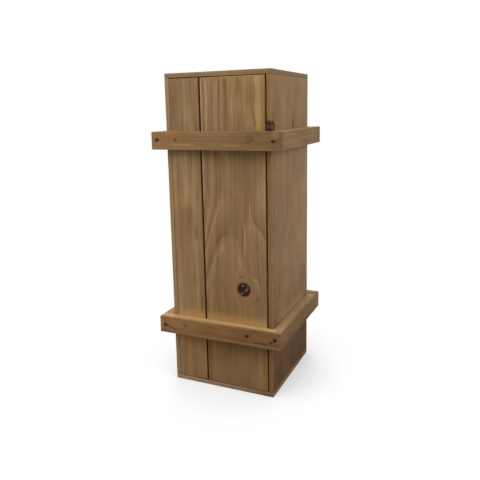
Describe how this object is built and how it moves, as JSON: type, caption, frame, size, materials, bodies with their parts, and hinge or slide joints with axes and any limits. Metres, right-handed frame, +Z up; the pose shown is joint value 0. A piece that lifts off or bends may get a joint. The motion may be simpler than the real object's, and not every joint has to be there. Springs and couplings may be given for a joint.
{
  "type": "wooden wine box",
  "caption": "Tall square box of thin pine boards for a bottle, with a ring of battens near either end and a front panel that pulls off as its lid.",
  "frame": {"origin": "middle of the foot of the case, on the surface it stands on", "axes": "+Z up along the height of the case; the lid faces -Y; +X is to the right of someone who faces the lid"},
  "size_m": [0.144, 0.144, 0.345],
  "materials": {
    "case_pine": "bare planed pine, aged to a dull brown",
    "end_pine": "bare planed pine, aged, with end grain on two edges",
    "lid_pine": "bare planed pine, aged, with arched grain and a knot",
    "batten_pine": "rough sawn pine, aged, with worn edges",
    "nail_steel": "dark, lightly rusted steel"
  },
  "bodies": {
    "case": {"top_plate": "end_pine", "bottom_plate": "end_pine", "left_side_board": "case_pine", "right_side_board": "case_pine", "back_narrow_board": "case_pine", "back_wide_board": "case_pine", "back_upper_batten": "batten_pine", "back_lower_batten": "batten_pine", "left_upper_batten": "batten_pine", "left_lower_batten": "batten_pine", "right_upper_batten": "batten_pine", "right_lower_batten": "batten_pine", "back_corner_nails": "nail_steel", "back_board_nails": "nail_steel", "left_batten_nails": "nail_steel", "right_batten_nails": "nail_steel", "top_plate_nails": "nail_steel", "bottom_plate_nails": "nail_steel"},
    "lid": {"lid_narrow_board": "lid_pine", "lid_wide_board": "lid_pine", "lid_upper_batten": "batten_pine", "lid_lower_batten": "batten_pine", "lid_corner_nails": "nail_steel", "lid_board_nails": "nail_steel"}
  },
  "joints": [
    {"name": "lid_pull", "type": "slide", "parent": "case", "child": "lid", "axis": [0, -1, 0], "range_m": [0, 0.15]}
  ]
}
